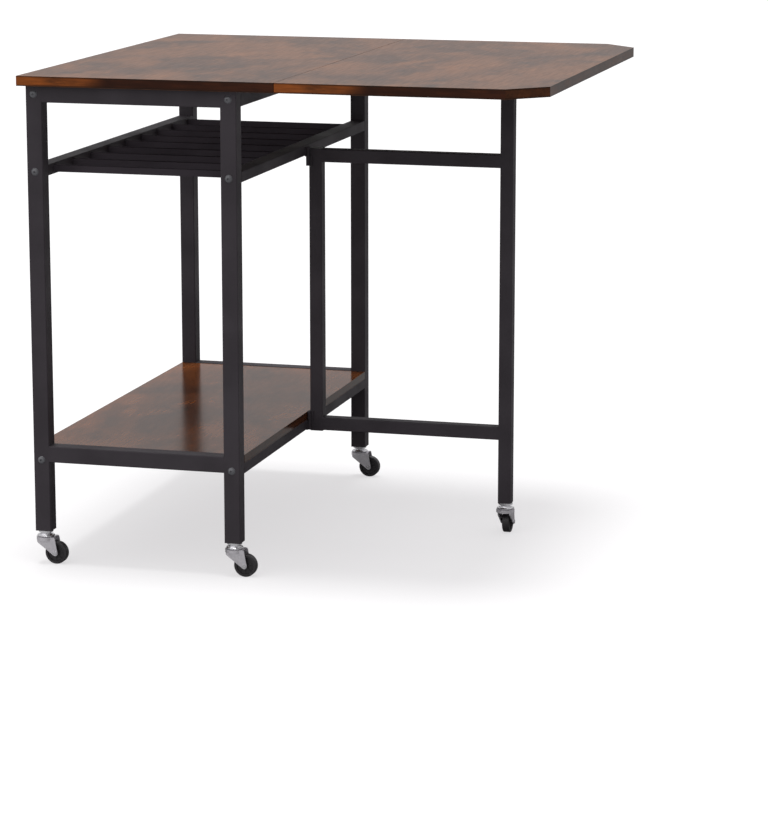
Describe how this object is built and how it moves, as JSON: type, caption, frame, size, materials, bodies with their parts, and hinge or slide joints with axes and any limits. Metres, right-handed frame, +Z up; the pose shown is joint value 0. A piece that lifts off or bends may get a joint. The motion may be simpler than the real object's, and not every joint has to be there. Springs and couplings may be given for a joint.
{
  "type": "drop leaf kitchen island",
  "caption": "Rolling kitchen island on a square-tube frame with a grid rack, a low shelf and a drop leaf carried by a swing-out gate leg.",
  "frame": {"origin": "on the floor, under the middle of the raised top", "axes": "+X from the fixed board to the drop leaf, +Y from the front to the back of the island, +Z up"},
  "size_m": [0.96, 0.9, 0.9],
  "materials": {
    "wood_board": "satin rustic brown laminate",
    "shelf_laminate": "satin rustic brown laminate",
    "powder_coat": "matte black powder coat",
    "zinc": "zinc plated",
    "bright_steel": "bright zinc plated",
    "black_steel": "black oxide",
    "black_plastic": "matte",
    "wheel_black": "satin"
  },
  "bodies": {
    "frame": {"top_board": "wood_board", "leg_front_left": "powder_coat", "leg_front_right": "powder_coat", "leg_back_left": "powder_coat", "leg_back_right": "powder_coat", "top_end_rail_front": "powder_coat", "top_end_rail_back": "powder_coat", "top_side_rail_left": "powder_coat", "top_side_rail_right": "powder_coat", "rack_rail_left": "powder_coat", "rack_rail_right": "powder_coat", "rack_bars": "powder_coat", "shelf_side_rail_left": "powder_coat", "shelf_side_rail_right": "powder_coat", "shelf_end_rail_front": "powder_coat", "shelf_end_rail_back": "powder_coat", "shelf_board": "shelf_laminate", "rail_inserts": "bright_steel", "frame_bolts": "black_steel", "top_board_screws": "black_steel", "shelf_screws": "black_steel", "leg_inserts": "bright_steel", "leaf_hinge_fixed_plates": "zinc", "leaf_hinge_pins": "bright_steel", "leaf_hinge_fixed_screws": "bright_steel", "gate_hinge_frame_halves": "powder_coat", "caster_stem_front_left": "bright_steel", "caster_stem_front_right": "bright_steel", "caster_stem_back_left": "bright_steel", "caster_stem_back_right": "bright_steel"},
    "leaf": {"drop_leaf": "wood_board", "leaf_hinge_moving_plates": "zinc", "leaf_hinge_moving_screws": "bright_steel", "gate_stop": "black_plastic", "gate_stop_screws": "black_steel"},
    "gate": {"gate_inner_post": "powder_coat", "gate_outer_post": "powder_coat", "gate_top_rail": "powder_coat", "gate_bottom_rail": "powder_coat", "gate_post_cap": "black_plastic", "gate_post_plugs": "black_plastic", "gate_insert": "bright_steel", "gate_hinge_gate_halves": "powder_coat", "caster_stem_gate": "bright_steel"},
    "fork_front_left": {"caster_fork_front_left": "zinc", "caster_axle_front_left": "bright_steel"},
    "wheel_front_left": {"caster_wheel_front_left": "wheel_black"},
    "fork_front_right": {"caster_fork_front_right": "zinc", "caster_axle_front_right": "bright_steel"},
    "wheel_front_right": {"caster_wheel_front_right": "wheel_black"},
    "fork_back_left": {"caster_fork_back_left": "zinc", "caster_axle_back_left": "bright_steel"},
    "wheel_back_left": {"caster_wheel_back_left": "wheel_black"},
    "fork_back_right": {"caster_fork_back_right": "zinc", "caster_axle_back_right": "bright_steel"},
    "wheel_back_right": {"caster_wheel_back_right": "wheel_black"},
    "fork_gate": {"caster_fork_gate": "zinc", "caster_axle_gate": "bright_steel"},
    "wheel_gate": {"caster_wheel_gate": "wheel_black"}
  },
  "joints": [
    {"name": "leaf_hinge", "type": "hinge", "parent": "frame", "child": "leaf", "pos_m": [0.0005, 0, 0.877], "axis": [0, 1, 0], "range_deg": [-2, 0]},
    {"name": "gate_hinge", "type": "hinge", "parent": "frame", "child": "gate", "pos_m": [-0.069, -0.0075, 0.46], "axis": [0, 0, -1], "range_deg": [0, 90]},
    {"name": "swivel_front_left", "type": "hinge", "parent": "frame", "child": "fork_front_left", "pos_m": [-0.4525, -0.4225, 0.05], "axis": [0, 0, 1], "continuous": true},
    {"name": "roll_front_left", "type": "hinge", "parent": "fork_front_left", "child": "wheel_front_left", "pos_m": [-0.4315, -0.4225, 0.021], "axis": [0, 1, 0], "continuous": true},
    {"name": "swivel_front_right", "type": "hinge", "parent": "frame", "child": "fork_front_right", "pos_m": [-0.0875, -0.4225, 0.05], "axis": [0, 0, 1], "continuous": true},
    {"name": "roll_front_right", "type": "hinge", "parent": "fork_front_right", "child": "wheel_front_right", "pos_m": [-0.0665, -0.4225, 0.021], "axis": [0, 1, 0], "continuous": true},
    {"name": "swivel_back_left", "type": "hinge", "parent": "frame", "child": "fork_back_left", "pos_m": [-0.4525, 0.4225, 0.05], "axis": [0, 0, 1], "continuous": true},
    {"name": "roll_back_left", "type": "hinge", "parent": "fork_back_left", "child": "wheel_back_left", "pos_m": [-0.4315, 0.4225, 0.021], "axis": [0, 1, 0], "continuous": true},
    {"name": "swivel_back_right", "type": "hinge", "parent": "frame", "child": "fork_back_right", "pos_m": [-0.0875, 0.4225, 0.05], "axis": [0, 0, 1], "continuous": true},
    {"name": "roll_back_right", "type": "hinge", "parent": "fork_back_right", "child": "wheel_back_right", "pos_m": [-0.0665, 0.4225, 0.021], "axis": [0, 1, 0], "continuous": true},
    {"name": "swivel_gate", "type": "hinge", "parent": "gate", "child": "fork_gate", "pos_m": [0.3165, 0.0085, 0.05], "axis": [0, 0, 1], "continuous": true},
    {"name": "roll_gate", "type": "hinge", "parent": "fork_gate", "child": "wheel_gate", "pos_m": [0.3165, 0.0295, 0.021], "axis": [-1, 0, 0], "continuous": true}
  ]
}
